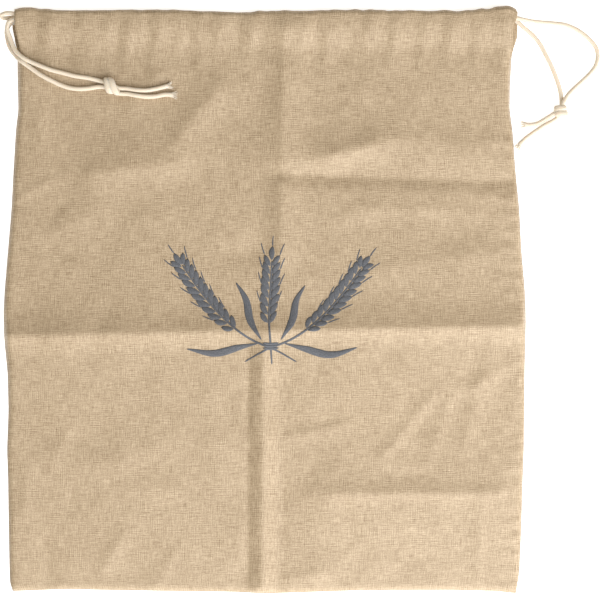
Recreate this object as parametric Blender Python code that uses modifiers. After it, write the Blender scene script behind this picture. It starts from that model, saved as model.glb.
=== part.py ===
"""Linen drawstring bag for pastry and bread, pressed and lying flat on its back.

The frame is metres with +Z up: X across the bag, +Y towards its mouth, and the
underside of the back panel at Z = 0. The tables below are in millimetres.
"""
import math
from collections import namedtuple

import bmesh
import bpy
import numpy as np
from mathutils import Vector

MM = 0.001
COLLECTION_NAME = "linen_drawstring_bag"

# Driving sizes in millimetres
CLOTH = 1.0
GAP = 0.3
CORD_DIAMETER = 3.0
CORD_RADIUS = CORD_DIAMETER / 2
TOP_FOLD_Y = 196.2
STITCH_Y = 172.0
HEM_END_Y = 170.5
HEM_INSET = 12.0
SEAM_ROLL = 6.0
MOUTH_START_Y = 165.0
NOMINAL_HALF_WIDTH = 172.0

# Heights of the middle of each cloth layer, stacked up from the surface
LAYER = CLOTH + GAP
TUNNEL = CORD_DIAMETER + 2 * GAP
BACK_MIDDLE = CLOTH / 2
SEAM_MIDDLE = BACK_MIDDLE + LAYER
BACK_HEM_HEIGHT = BACK_MIDDLE + TUNNEL + CLOTH
FRONT_HEM_HEIGHT = BACK_HEM_HEIGHT + LAYER
FRONT_TUNNEL_TOP = FRONT_HEM_HEIGHT + TUNNEL + CLOTH
FOLD_RADIUS = (TUNNEL + CLOTH) / 2
BACK_RUN = BACK_MIDDLE + FOLD_RADIUS
FRONT_RUN = FRONT_HEM_HEIGHT + FOLD_RADIUS

# Cord centre over the middle of the front cloth, and over the floor
ON_CLOTH = CLOTH / 2 + CORD_RADIUS + 0.6
ON_FLOOR = CORD_RADIUS + 0.1

# The two side edges, from the bottom corner up to the heading
Edge = namedtuple("Edge", "y left right")
FRONT_EDGES = (
    Edge(-202, -173.5, 173.0),
    Edge(-197, -175.5, 174.0),
    Edge(-187, -175.8, 175.5),
    Edge(-159, -176.3, 176.7),
    Edge(-125, -176.8, 177.7),
    Edge(-104, -177.5, 178.5),
    Edge(-76, -176.5, 178.9),
    Edge(-49, -177.1, 179.1),
    Edge(-21, -179.6, 179.9),
    Edge(-7, -179.9, 179.7),
    Edge(7, -179.2, 179.0),
    Edge(34, -176.8, 176.8),
    Edge(62, -174.4, 175.4),
    Edge(89, -173.0, 172.7),
    Edge(117, -171.3, 170.6),
    Edge(131, -169.6, 168.7),
    Edge(145, -170.0, 168.8),
    Edge(165, -170.3, 169.9),
    Edge(172, -168.9, 170.6),
    Edge(179, -170.4, 171.3),
    Edge(187, -172.4, 171.5),
    Edge(193, -172.7, 173.4),
    Edge(198, -172.6, 175.0),
    Edge(203, -172.5, 172.0),
)
BACK_HEADING_EDGES = (
    Edge(165, -170.3, 169.9),
    Edge(172, -170.8, 171.2),
    Edge(176, -173.6, 172.6),
    Edge(181, -174.6, 174.2),
    Edge(187, -176.0, 174.4),
    Edge(193, -174.0, 173.8),
    Edge(198, -172.8, 174.6),
    Edge(203, -172.5, 172.0),
)
BACK_EDGES = tuple(edge for edge in FRONT_EDGES if edge.y < MOUTH_START_Y) + BACK_HEADING_EDGES

# The bottom seam and the folded top edge, from left to right
Rim = namedtuple("Rim", "x y")
BOTTOM_RIM = (
    Rim(-173, -200.9),
    Rim(-136, -199.6),
    Rim(-100, -200.4),
    Rim(-20, -201.5),
    Rim(0, -202.6),
    Rim(24, -201.8),
    Rim(66, -200.4),
    Rim(128, -200.2),
    Rim(160, -200.9),
    Rim(172, -202.4),
)
TOP_RIM = (
    Rim(-173, 200.1),
    Rim(-160, 200.9),
    Rim(-147, 199.8),
    Rim(-90, 200.1),
    Rim(-60, 200.0),
    Rim(-25, 198.5),
    Rim(0, 199.2),
    Rim(17, 200.0),
    Rim(36, 199.6),
    Rim(60, 200.4),
    Rim(90, 199.6),
    Rim(114, 198.8),
    Rim(138, 199.0),
    Rim(152, 200.8),
    Rim(166, 202.6),
    Rim(172, 201.4),
)

# Height of the front cloth's middle along the bag, before its folds
Level = namedtuple("Level", "y z")
FRONT_LEVELS = (
    Level(-203, 3.3),
    Level(-150, 3.4),
    Level(-60, 3.6),
    Level(0, 3.8),
    Level(60, 3.8),
    Level(110, 4.4),
    Level(140, 5.0),
    Level(155, 5.3),
    Level(165, 4.9),
    Level(STITCH_Y, BACK_MIDDLE + 3 * LAYER),
    Level(177, 5.8),
    Level(182, 8.4),
    Level(187, 10.4),
    Level(191, FRONT_TUNNEL_TOP),
    Level(TOP_FOLD_Y, FRONT_TUNNEL_TOP),
)
FRONT_HEM_LEVELS = (
    Level(TOP_FOLD_Y, FRONT_HEM_HEIGHT),
    Level(189, FRONT_HEM_HEIGHT - 0.05),
    Level(182, 5.1),
    Level(176, 3.5),
    Level(172.5, BACK_MIDDLE + 2 * LAYER),
    Level(HEM_END_Y, BACK_MIDDLE + 2 * LAYER),
)
BACK_HEM_LEVELS = tuple(Level(level.y, level.z - LAYER) for level in FRONT_HEM_LEVELS)

# Creases of the front cloth. Each runs from (x0, y0) to (x1, y1); upper and lower
# are the widths of its two flanks, and a height below nought is a trough.
Fold = namedtuple("Fold", "x0 y0 x1 y1 height upper lower sharp")
FOLDS = (
    Fold(-182, -25.2, 182, -18.3, 4.0, 22, 24, 1.5),
    Fold(0.0, -30, 4.5, -205, 2.6, 13, 11, 1.5),
    Fold(13.0, 165, 11.0, 30, 1.5, 17, 15, 1.8),
    Fold(7, 84.5, 176, 79.0, -1.9, 15, 10, 1.5),
    Fold(30, 106, 86, 110, 1.7, 14, 14, 2.0),
    Fold(86, 110, 145, 102, 1.6, 12, 12, 2.0),
    Fold(-120, 82, -45, 97, 1.5, 18, 20, 2.0),
    Fold(-60, 118, -18, 154, 1.3, 13, 15, 2.0),
    Fold(170, -34, 120, -70, 1.2, 8, 8, 1.5),
    Fold(142, -43, 110, -78, 0.9, 7, 7, 1.5),
    Fold(44, -134, 164, -134, 1.3, 9, 22, 1.5),
    Fold(24, -142, 56, -114, 1.0, 8, 8, 1.6),
    Fold(-131, -88, -153, -140, 0.9, 8, 8, 1.6),
    Fold(-155, -130, -153, -202, 0.9, 12, 14, 2.0),
    Fold(-93, -162, -106, -186, 0.8, 8, 8, 1.6),
)
FOLD_END = 18.0

# Valleys between the small gathers at the stitch line of the heading
PUCKER_VALLEYS = (
    -154, -143, -129, -112, -96, -72, -50, -37, -14, 15, 40, 56, 92, 104, 124, 142, 155,
)
PUCKER_ENDS = (-164, 164)
PUCKER_PROFILE = (
    Level(148, 0.0),
    Level(160, 0.6),
    Level(STITCH_Y, 1.0),
    Level(182, 0.8),
    Level(191, 0.0),
)

# Rows of cells, from the bottom seam to the top fold, and the rows of the fold
SEAM_OFFSETS = (0.0, 2.0, 5.0)
FRONT_ROWS = (
    -188, -168, -150, -139, -132, -118, -100, -82, -64, -47, -35, -27, -22, -17, -9,
    6, 25, 45, 64, 75, 82, 92, 106, 122, 138, 150, 158, 165, STITCH_Y, 177, 182, 187, 191,
    TOP_FOLD_Y,
)
BACK_ROWS = (
    -188, -159, -125, -104, -76, -49, -21, -7, 7, 34, 62, 89, 117, 131, 145, 165,
    STITCH_Y, 176, 181, 187, 193, TOP_FOLD_Y,
)
BACK_COLUMNS = (-150, -125, -100, -75, -50, -25, 0, 25, 50, 75, 100, 125, 150)
FOLD_ANGLES = (54, 18, -18, -54)
FOLD_INSETS = (0.0, 0.0, 0.35, 0.7)
MAIN_CREASE_Y = -22.0
CREASE_REACH = 60.0

# Knots: centre, half sizes and turn about Z in degrees
Knot = namedtuple("Knot", "x y half_x half_y half_z turn")
LEFT_KNOT = Knot(-105.7, 146.6, 5.2, 6.1, 3.6, 18)
RIGHT_KNOT = Knot(204.1, 130.1, 5.0, 4.4, 3.8, 0)
KNOT_GROOVE = 0.1

# Spacing of the points along a cord, free and inside the tunnels
FREE_STEP = 7.5
TUNNEL_STEP = 28.0
TUNNEL_X = 166.0


def smooth(value):
    """Ease from 0 to 1, flat at both ends."""
    clipped = min(max(value, 0.0), 1.0)
    return clipped * clipped * (3.0 - 2.0 * clipped)


def read_table(rows, key, value, at):
    """Read one column of a table between its rows."""
    keys = [getattr(row, key) for row in rows]
    values = [getattr(row, value) for row in rows]
    return float(np.interp(at, keys, values))


def side_edges(edges, y):
    """Left and right edge of a panel at one height."""
    return read_table(edges, "y", "left", y), read_table(edges, "y", "right", y)


def fold_lift(fold, x, y):
    """Height that one crease adds at a place."""
    run_x = fold.x1 - fold.x0
    run_y = fold.y1 - fold.y0
    length = math.hypot(run_x, run_y)
    along = ((x - fold.x0) * run_x + (y - fold.y0) * run_y) / length
    beside = ((y - fold.y0) * run_x - (x - fold.x0) * run_y) / length
    width = fold.upper if beside > 0 else fold.lower
    if abs(beside) >= width:
        return 0.0
    ends = smooth((along + FOLD_END / 2) / FOLD_END) * smooth((length + FOLD_END / 2 - along) / FOLD_END)
    flank = (1.0 - abs(beside) / width) ** fold.sharp
    return fold.height * flank * ends


def pucker_lift(x, y):
    """Height of the small gathers along the heading's stitch line."""
    strength = read_table(PUCKER_PROFILE, "y", "z", y)
    if strength <= 0.0:
        return 0.0
    stations = (PUCKER_ENDS[0],) + PUCKER_VALLEYS + (PUCKER_ENDS[1],)
    nearest = min(abs(x - valley) for valley in PUCKER_VALLEYS)
    place = int(np.searchsorted(stations, x))
    if place in (0, len(stations)):
        return 0.0
    half_pitch = (stations[place] - stations[place - 1]) / 2
    return strength * smooth(nearest / half_pitch) * min(half_pitch / 8.0, 1.2)


def seam_ease(x, y):
    """How far the front cloth has risen from the seams: 0 on them, 1 inside."""
    left, right = side_edges(FRONT_EDGES, y)
    from_side = smooth(min(x - left, right - x) / SEAM_ROLL)
    opened = smooth((y - MOUTH_START_Y) / (STITCH_Y - MOUTH_START_Y))
    from_bottom = smooth((y - read_table(BOTTOM_RIM, "x", "y", x)) / SEAM_ROLL)
    return min(max(from_side, opened), from_bottom)


def front_middle(x, y):
    """Height of the middle of the front cloth, with its folds and gathers."""
    level = read_table(FRONT_LEVELS, "y", "z", y)
    raised = level + sum(fold_lift(fold, x, y) for fold in FOLDS) + pucker_lift(x, y)
    risen = SEAM_MIDDLE + (raised - SEAM_MIDDLE) * seam_ease(x, y)
    return max(risen, SEAM_MIDDLE)


def back_middle(x, y):
    """Height of the middle of the back cloth, which lies flat all over."""
    return BACK_MIDDLE


def front_columns():
    """Column places across the nominal width: gathers, the spaces between them and the ends."""
    stations = (PUCKER_ENDS[0],) + PUCKER_VALLEYS + (PUCKER_ENDS[1],)
    columns = [stations[0]]
    for before, after in zip(stations, stations[1:]):
        columns.append((before + after) / 2)
        columns.append(after)
    return columns


def place_across(edges, columns, y, inset=0.0):
    """X of each column at one height, with the seam columns at both edges."""
    left, right = side_edges(edges, y)
    middle = (left + right) / 2
    half = (right - left) / 2
    places = [left + offset for offset in SEAM_OFFSETS]
    places += [middle + column * half / NOMINAL_HALF_WIDTH for column in columns]
    places += [right - offset for offset in reversed(SEAM_OFFSETS)]
    narrowed = (half - inset) / half
    return [middle + (place - middle) * narrowed for place in places]


def crease_shift(x, y):
    """Bend the rows near the main crease so that they run along it."""
    crease = FOLDS[0]
    slope = (crease.y1 - crease.y0) / (crease.x1 - crease.x0)
    drift = crease.y0 + slope * (x - crease.x0) - MAIN_CREASE_Y
    return drift * smooth(1.0 - abs(y - MAIN_CREASE_Y) / CREASE_REACH)


def panel_rows(edges, columns, rows, height_at, turn_height, fold_radius, hem_levels):
    """Rows of points of one panel: its body, its folded top edge and its hem inside.

    A fold radius above nought turns the top edge down, and one below nought turns it up.
    """
    grid = []
    for offset in SEAM_OFFSETS:
        places = place_across(edges, columns, rows[0] - 10)
        row = [(x, read_table(BOTTOM_RIM, "x", "y", x) + offset) for x in places]
        grid.append([(x, y, height_at(x, y)) for x, y in row])
    for row_y in rows:
        row = [(x, row_y + crease_shift(x, row_y)) for x in place_across(edges, columns, row_y)]
        grid.append([(x, y, height_at(x, y)) for x, y in row])
    for angle, inset_share in zip(FOLD_ANGLES, FOLD_INSETS):
        turn = math.radians(angle)
        row = []
        for x in place_across(edges, columns, TOP_FOLD_Y + 2, HEM_INSET * inset_share):
            reach = read_table(TOP_RIM, "x", "y", x) - CLOTH / 2 - TOP_FOLD_Y
            row.append((x, TOP_FOLD_Y + reach * math.cos(turn), turn_height + fold_radius * math.sin(turn)))
        grid.append(row)
    for level in hem_levels:
        places = place_across(edges, columns, level.y, HEM_INSET)
        grid.append([(x, level.y, level.z) for x in places])
    return grid


def cloth_object(name, grid, material):
    """Make one panel from its rows of points: an open sheet with thickness."""
    bm = bmesh.new()
    rows = [[bm.verts.new(Vector(point) * MM) for point in row] for row in grid]
    for below, above in zip(rows, rows[1:]):
        for column in range(len(below) - 1):
            bm.faces.new((below[column], below[column + 1], above[column + 1], above[column]))
    mesh = bpy.data.meshes.new(name)
    bm.to_mesh(mesh)
    bm.free()
    mesh.shade_smooth()
    panel = bpy.data.objects.new(name, mesh)
    panel.data.materials.append(material)
    thickness = panel.modifiers.new("Cloth", "SOLIDIFY")
    thickness.thickness = CLOTH * MM
    thickness.offset = 0.0
    thickness.use_even_offset = True
    return panel


def smooth_route(points):
    """Points of a smooth curve through a cord's own points, closer together where it is free."""
    route = [Vector(point) for point in points]
    lengths = [(after - before).length for before, after in zip(route, route[1:])]
    steps = [(after - before).normalized() for before, after in zip(route, route[1:])]
    tangents = [steps[0]]
    for index in range(1, len(route) - 1):
        ahead = steps[index] * lengths[index - 1]
        behind = steps[index - 1] * lengths[index]
        tangents.append((ahead + behind).normalized())
    tangents.append(steps[-1])
    curve = [route[0]]
    for index, length in enumerate(lengths):
        start, end = route[index], route[index + 1]
        hidden = abs(start.x) < TUNNEL_X and abs(end.x) < TUNNEL_X and start.y > STITCH_Y
        pieces = max(1, round(length / (TUNNEL_STEP if hidden else FREE_STEP)))
        for piece in range(1, pieces + 1):
            t = piece / pieces
            curve.append(
                start * (2 * t**3 - 3 * t**2 + 1)
                + tangents[index] * length * (t**3 - 2 * t**2 + t)
                + end * (3 * t**2 - 2 * t**3)
                + tangents[index + 1] * length * (t**3 - t**2)
            )
    return curve


def cord_object(name, points, material):
    """Make one cord as a round tube along its route."""
    route = smooth_route(points)
    curve = bpy.data.curves.new(name, "CURVE")
    curve.dimensions = "3D"
    curve.bevel_depth = CORD_RADIUS * MM
    curve.bevel_resolution = 2
    curve.use_fill_caps = True
    spline = curve.splines.new("POLY")
    spline.points.add(len(route) - 1)
    for point, place in zip(spline.points, route):
        point.co = (place.x * MM, place.y * MM, place.z * MM, 1.0)
    curve.materials.append(material)
    return bpy.data.objects.new(name, curve)


def knot_object(name, knot, centre_z, material):
    """Make the rounded outer shape of an overhand knot, with the groove between its wraps."""
    bm = bmesh.new()
    bmesh.ops.create_uvsphere(bm, u_segments=14, v_segments=9, radius=1.0)
    for vert in bm.verts:
        wrap = math.cos(2 * math.atan2(vert.co.z, vert.co.x) - 0.8)
        size = 1.0 - KNOT_GROOVE * (0.5 + 0.5 * wrap)
        vert.co = Vector((vert.co.x * knot.half_x, vert.co.y * knot.half_y, vert.co.z * knot.half_z)) * size * MM
    mesh = bpy.data.meshes.new(name)
    bm.to_mesh(mesh)
    bm.free()
    mesh.shade_smooth()
    tied = bpy.data.objects.new(name, mesh)
    tied.data.materials.append(material)
    tied.location = (knot.x * MM, knot.y * MM, centre_z * MM)
    tied.rotation_euler = (0.0, 0.0, math.radians(knot.turn))
    return tied


def on_front(x, y, lift=0.0):
    """A place of a cord that lies on the front cloth."""
    return (x, y, front_middle(x, y) + ON_CLOTH + lift)


def left_drawstring_route():
    """From the left knot in by the front tunnel, round at the right mouth and back to the knot."""
    upper_strand = [
        on_front(-110.2, 149.9),
        on_front(-121.1, 152.2),
        on_front(-129.9, 153.5),
        on_front(-138.7, 155.7),
        on_front(-147.5, 157.9),
        on_front(-156.2, 161.3, 0.6),
        (-159.9, 162.8, 10.2),
        (-163.6, 164.6, 10.8),
        (-167.6, 167.4, 9.8),
        (-171.2, 171.2, 8.4),
        (-173.4, 175.6, 7.6),
        (-175.2, 180.6, 7.5),
        (-176.9, 186.2, 8.0),
        (-175.6, 190.6, 8.5),
        (-171.5, 192.3, FRONT_RUN),
    ]
    tunnels = [
        (-160, 191.7, FRONT_RUN),
        (-150, 191.7, FRONT_RUN),
        (150, 191.7, FRONT_RUN),
        (160, 191.7, FRONT_RUN),
        (162.2, 191.7, FRONT_RUN),
        (164.3, 191.7, 7.85),
        (165.1, 191.7, (FRONT_RUN + BACK_RUN) / 2),
        (164.3, 191.7, 3.65),
        (162.2, 191.7, BACK_RUN),
        (160, 191.7, BACK_RUN),
        (150, 191.7, BACK_RUN),
        (-150, 191.7, BACK_RUN),
        (-160, 191.7, BACK_RUN),
    ]
    lower_strand = [
        (-171.5, 191.7, BACK_RUN),
        (-176.4, 189.9, 2.9),
        (-178.3, 186.0, 2.6),
        (-178.0, 181.0, 2.6),
        (-176.8, 176.0, 3.2),
        (-174.3, 171.2, 4.4),
        (-170.8, 167.0, 5.8),
        on_front(-166.4, 163.2),
        on_front(-163.4, 161.0),
        on_front(-159.8, 158.4),
        on_front(-154.0, 154.4),
        on_front(-147.5, 150.9),
        on_front(-140.9, 147.8),
        on_front(-134.3, 145.6),
        on_front(-127.7, 144.8),
        on_front(-121.0, 145.2),
        on_front(-110.9, 146.5),
    ]
    return upper_strand + tunnels + lower_strand


def right_drawstring_route():
    """From the right knot in by the front tunnel, round outside the left mouth and back."""
    outer_strand = [
        (205.4, 134.9, 5.2),
        (206.4, 136.9, 5.2),
        (208.9, 140.6, 3.6),
        (213.2, 145.2, 1.9),
        (219.1, 150.6, ON_FLOOR),
        (225.0, 156.3, ON_FLOOR),
        (228.6, 161.1, ON_FLOOR),
        (230.3, 167.0, ON_FLOOR),
        (229.4, 173.5, ON_FLOOR),
        (225.0, 179.3, ON_FLOOR),
        (218.4, 184.9, ON_FLOOR),
        (208.6, 189.0, ON_FLOOR),
        (198.6, 190.6, 2.2),
        (188.7, 191.5, 4.2),
        (180.1, 192.4, 6.6),
        (174.5, 193.4, 8.0),
        (170.0, 194.6, 8.6),
    ]
    tunnels = [
        (160, 195.3, FRONT_RUN),
        (150, 195.3, FRONT_RUN),
        (-140, 195.3, FRONT_RUN),
        (-150, 195.3, FRONT_RUN),
        (-164, 195.8, FRONT_RUN),
        (-172, 196.4, FRONT_RUN),
        (-177.5, 196.9, 8.2),
        (-181.0, 196.0, 6.7),
        (-181.8, 194.9, 5.1),
        (-180.2, 194.0, 3.7),
        (-176.5, 194.5, 2.9),
        (-171.0, 195.3, BACK_RUN),
        (-160, 195.3, BACK_RUN),
        (-150, 195.3, BACK_RUN),
        (150, 195.3, BACK_RUN),
        (160, 195.3, BACK_RUN),
    ]
    inner_strand = [
        (170.0, 194.4, BACK_RUN),
        (174.6, 191.6, BACK_RUN),
        (178.8, 188.0, 2.4),
        (184.7, 183.2, 1.9),
        (190.1, 177.0, ON_FLOOR),
        (194.0, 169.7, ON_FLOOR),
        (198.0, 161.8, ON_FLOOR),
        (201.3, 153.8, ON_FLOOR),
        (203.9, 145.9, ON_FLOOR),
        (205.1, 139.5, ON_FLOOR),
        (205.0, 134.6, ON_FLOOR),
    ]
    return outer_strand + tunnels + inner_strand


def tail_routes():
    """The four free ends past the knots."""
    return {
        "left_tail_upper": [
            on_front(-100.7, 145.5),
            on_front(-94.2, 145.0),
            on_front(-87.6, 143.9),
            on_front(-81.0, 143.8),
            on_front(-74.3, 144.9),
            on_front(-65.7, 147.1),
        ],
        "left_tail_lower": [
            on_front(-101.2, 142.0),
            on_front(-94.2, 141.4),
            on_front(-87.6, 140.1),
            on_front(-81.0, 139.4),
            on_front(-74.3, 139.8),
            on_front(-68.0, 141.0),
            on_front(-62.5, 140.7),
        ],
        "right_tail_upper": [
            (199.9, 128.4, 2.0),
            (194.0, 124.8, ON_FLOOR),
            (188.8, 121.8, ON_FLOOR),
            (184.1, 120.8, ON_FLOOR),
            (178.9, 121.0, ON_FLOOR),
        ],
        "right_tail_lower": [
            (202.1, 125.7, 2.0),
            (193.4, 120.4, ON_FLOOR),
            (185.1, 114.9, ON_FLOOR),
            (178.4, 109.6, ON_FLOOR),
            (175.4, 106.1, ON_FLOOR),
        ],
    }


def principled(name, colour, roughness):
    """A plain Principled material."""
    material = bpy.data.materials.new(name)
    material.use_nodes = True
    shader = material.node_tree.nodes["Principled BSDF"]
    shader.inputs["Base Color"].default_value = (*colour, 1.0)
    shader.inputs["Roughness"].default_value = roughness
    shader.inputs["Metallic"].default_value = 0.0
    return material


def clear_scene():
    """Remove whatever the open scene holds."""
    for old in list(bpy.data.objects):
        bpy.data.objects.remove(old, do_unlink=True)


def build():
    """Build the bag: two panels, two drawstrings, two knots and four tails."""
    clear_scene()
    collection = bpy.data.collections.new(COLLECTION_NAME)
    bpy.context.scene.collection.children.link(collection)
    front_linen = principled("front_linen", (0.60, 0.45, 0.29), 0.92)
    back_linen = principled("back_linen", (0.58, 0.43, 0.28), 0.92)
    cotton = principled("cotton_cord", (0.86, 0.77, 0.62), 0.85)
    knot_cotton = principled("knot_cotton", (0.84, 0.75, 0.60), 0.85)
    tail_cotton = principled("tail_cotton", (0.87, 0.78, 0.64), 0.85)

    front_rows = panel_rows(
        FRONT_EDGES, front_columns(), FRONT_ROWS, front_middle, FRONT_RUN, FOLD_RADIUS, FRONT_HEM_LEVELS
    )
    back_rows = panel_rows(
        BACK_EDGES, BACK_COLUMNS, BACK_ROWS, back_middle, BACK_RUN, -FOLD_RADIUS, BACK_HEM_LEVELS
    )
    left_knot_z = front_middle(LEFT_KNOT.x, LEFT_KNOT.y) + CLOTH / 2 + 2 * GAP + LEFT_KNOT.half_z
    right_knot_z = RIGHT_KNOT.half_z + GAP / 3
    pieces = [
        cloth_object("front_panel", front_rows, front_linen),
        cloth_object("back_panel", [row[::-1] for row in back_rows], back_linen),
        cord_object("left_drawstring", left_drawstring_route(), cotton),
        cord_object("right_drawstring", right_drawstring_route(), cotton),
        knot_object("left_knot", LEFT_KNOT, left_knot_z, knot_cotton),
        knot_object("right_knot", RIGHT_KNOT, right_knot_z, knot_cotton),
    ]
    for name, route in tail_routes().items():
        pieces.append(cord_object(name, route, tail_cotton))
    for piece in pieces:
        collection.objects.link(piece)


build()
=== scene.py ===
"""Looks of a linen drawstring bag for pastry that lies pressed on its back.

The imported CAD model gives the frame: metres, X across the bag, +Y towards its mouth and
Z up from the table. The tables of sizes below are in millimetres, and each mesh is
scaled to metres once, where its points are placed.
"""

import logging
import math
from dataclasses import dataclass
from enum import Enum
from functools import cached_property

import bmesh
import bpy
import numpy as np
from mathutils import Matrix, Vector

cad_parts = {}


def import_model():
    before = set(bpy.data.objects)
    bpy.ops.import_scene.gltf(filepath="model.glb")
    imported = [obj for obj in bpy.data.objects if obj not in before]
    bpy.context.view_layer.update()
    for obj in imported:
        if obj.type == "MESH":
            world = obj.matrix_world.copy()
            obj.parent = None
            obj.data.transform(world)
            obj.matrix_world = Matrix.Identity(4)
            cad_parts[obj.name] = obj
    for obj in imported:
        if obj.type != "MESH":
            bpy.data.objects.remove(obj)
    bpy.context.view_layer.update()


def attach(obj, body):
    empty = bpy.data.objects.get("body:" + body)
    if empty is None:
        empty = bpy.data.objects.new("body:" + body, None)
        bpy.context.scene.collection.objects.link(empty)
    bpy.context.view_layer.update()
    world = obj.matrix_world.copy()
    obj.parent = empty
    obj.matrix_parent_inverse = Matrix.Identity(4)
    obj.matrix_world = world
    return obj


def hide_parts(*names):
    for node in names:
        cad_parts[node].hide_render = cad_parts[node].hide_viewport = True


log = logging.getLogger("linen_bag")

MM = 0.001
ROOT = "root"
UV_LAYER = "UVMap"
# Distances from a tube's end at which its rounded cap has a ring, as shares of the radius.
CAP_RINGS = (0.0, 0.08, 0.3, 0.65)

Colour = tuple[float, float, float]
Place = tuple[float, float, float]
Spot = tuple[float, float]
Route = list[Place]
Points = np.ndarray


class Slot(Enum):
    """Material slots of the record."""

    FRONT = "front_linen"
    BACK = "back_linen"
    CORD = "cotton_cord"


# Small helpers.


def smooth(value: Points) -> Points:
    """Ease from 0 to 1, flat at both ends.

    Args:
        value: Places, where 0 and 1 are the ends of the ease.

    Returns:
        The eased values, held at 0 below the ease and at 1 above it.
    """
    clipped = np.clip(value, 0.0, 1.0)
    return clipped * clipped * (3.0 - 2.0 * clipped)


def distances(path: Points) -> Points:
    """Distance along a path from its start to each of its points."""
    return np.concatenate(([0.0], np.cumsum(np.linalg.norm(np.diff(path, axis=0), axis=1))))


@dataclass(frozen=True)
class Profile:
    """A table of values along one measure, with its corners rounded off."""

    rows: tuple[tuple[float, float], ...]
    blur: float = 3.0
    step: float = 0.5

    @cached_property
    def rounded(self) -> tuple[Points, Points]:
        """The table at fine even steps, blurred once."""
        keys, values = np.array(self.rows, dtype=float).T
        reach = 3.0 * self.blur
        fine = np.arange(keys[0] - reach, keys[-1] + reach, self.step)
        raw = np.interp(fine, keys, values)
        spread = np.arange(-reach, reach + self.step, self.step)
        weights = np.exp(-((spread / self.blur) ** 2))
        padded = np.pad(raw, len(spread) // 2, mode="edge")
        return fine, np.convolve(padded, weights / weights.sum(), mode="valid")[: len(fine)]

    def read(self, at: Points) -> Points:
        """Read the table.

        Args:
            at: Places in the first column's measure, in millimetres.

        Returns:
            The second column's values there.
        """
        return np.interp(at, *self.rounded)


def add_object(name: str, data: bpy.types.ID) -> bpy.types.Object:
    """Put a mesh, a light or a camera into the scene."""
    added = bpy.data.objects.new(name, data)
    bpy.context.scene.collection.objects.link(added)
    return added


def add_piece(name: str, bm: bmesh.types.BMesh, material: bpy.types.Material) -> bpy.types.Object:
    """Turn a finished bmesh into a piece that rides on the bag.

    Args:
        name: The piece's name.
        bm: Its mesh, with its place in metres. It is freed here.
        material: Its finish.

    Returns:
        The new object.
    """
    mesh = bpy.data.meshes.new(name)
    bm.to_mesh(mesh)
    bm.free()
    mesh.shade_smooth()
    mesh.materials.append(material)
    piece = add_object(name, mesh)
    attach(piece, ROOT)
    log.info("%s: %d faces", name, len(mesh.polygons))
    return piece


# The shape in which the cloth lies.


@dataclass(frozen=True)
class Fold:
    """A pressed crease from one point to another, with the width of each flank."""

    x0: float
    y0: float
    x1: float
    y1: float
    height: float
    upper: float
    lower: float
    sharp: float = 1.6
    crest: float = 0.8
    fade: float = 18.0

    def lift(self, x: Points, y: Points) -> Points:
        """Height that the crease adds.

        Args:
            x: Places across the bag.
            y: Places along the bag.

        Returns:
            The lift at each place, below nought in a trough.
        """
        run_x, run_y = self.x1 - self.x0, self.y1 - self.y0
        length = math.hypot(run_x, run_y)
        along = ((x - self.x0) * run_x + (y - self.y0) * run_y) / length
        beside = ((y - self.y0) * run_x - (x - self.x0) * run_y) / length
        width = np.where(beside > 0, self.upper, self.lower)
        distance = np.sqrt(beside**2 + self.crest**2) - self.crest
        flank = np.clip(1.0 - distance / width, 0.0, 1.0) ** self.sharp
        ends = smooth((along + self.fade / 2) / self.fade)
        ends = ends * smooth((length + self.fade / 2 - along) / self.fade)
        return self.height * flank * ends


@dataclass(frozen=True)
class Crumple:
    """Small soft dents and ridges that pressing has left in the linen."""

    count: int
    length: tuple[float, float]
    width: tuple[float, float]
    height: float
    seed: int
    slant: float = 0.16
    lengthwise: float = 0.58
    bend: float = 0.006
    spread: float = 176.0
    lowest: float = -200.0
    half_width: float = 190.0
    half_length: float = 210.0

    @cached_property
    def map(self) -> Points:
        """Height of all the small wrinkles together, at every millimetre."""
        draw = np.random.default_rng(self.seed)
        xs = np.arange(-self.half_width, self.half_width + 1.0)
        ys = np.arange(-self.half_length, self.half_length + 1.0)
        total = np.zeros((len(ys), len(xs)))
        for _ in range(self.count):
            cx, cy = draw.uniform(-self.spread, self.spread), draw.uniform(self.lowest, self.spread)
            turn = draw.normal(0.0, self.slant) + (math.pi / 2 if draw.random() < self.lengthwise else 0.0)
            length, width = draw.uniform(*self.length), draw.uniform(*self.width)
            height, bend = self.height * draw.normal(0.0, 1.0), draw.normal(0.0, self.bend)
            reach = 2.0 * length + width
            rows = slice(*np.searchsorted(ys, (cy - reach, cy + reach)))
            columns = slice(*np.searchsorted(xs, (cx - reach, cx + reach)))
            x, y = np.meshgrid(xs[columns] - cx, ys[rows] - cy)
            along = x * math.cos(turn) + y * math.sin(turn)
            beside = y * math.cos(turn) - x * math.sin(turn) + bend * along**2
            total[rows, columns] += height * np.exp(-((along / length) ** 2) - (beside / width) ** 2)
        return total

    def lift(self, x: Points, y: Points) -> Points:
        """Height of the small wrinkles at some places.

        Args:
            x: Places across the bag.
            y: Places along the bag.

        Returns:
            The lift at each place, read between the map's millimetres.
        """
        rows, columns = self.map.shape
        column = np.clip(x + self.half_width, 0.0, columns - 1.1)
        row = np.clip(y + self.half_length, 0.0, rows - 1.1)
        left, low = column.astype(int), row.astype(int)
        across, up = column - left, row - low
        lower = self.map[low, left] * (1 - across) + self.map[low, left + 1] * across
        upper = self.map[low + 1, left] * (1 - across) + self.map[low + 1, left + 1] * across
        return lower * (1 - up) + upper * up


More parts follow.
